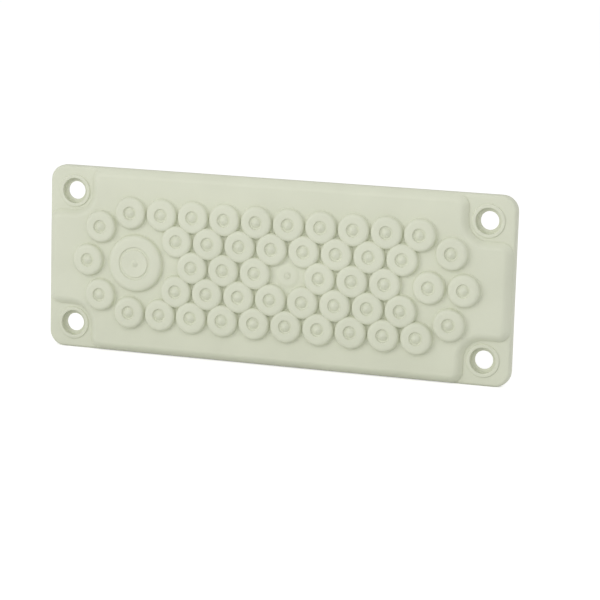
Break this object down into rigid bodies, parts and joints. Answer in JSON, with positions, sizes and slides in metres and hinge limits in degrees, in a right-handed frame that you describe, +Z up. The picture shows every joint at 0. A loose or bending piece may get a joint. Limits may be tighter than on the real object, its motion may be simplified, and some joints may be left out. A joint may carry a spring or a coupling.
{
  "type": "cable entry plate",
  "caption": "Upright moulded cable entry plate with a raised field of pierceable round membranes, a large membrane at one end and a screw hole in each corner",
  "frame": {"origin": "centre of the four screw holes, on the flat back face of the plate", "axes": "+X along the plate's length to the right as seen from the front, +Z up along its height, front with the membranes towards -Y"},
  "size_m": [0.232, 0.0112, 0.0892],
  "materials": {
    "pale_grey_plastic": "satin moulded surface"
  },
  "bodies": {
    "root": {"cable_entry_plate": "pale_grey_plastic"}
  },
  "joints": []
}
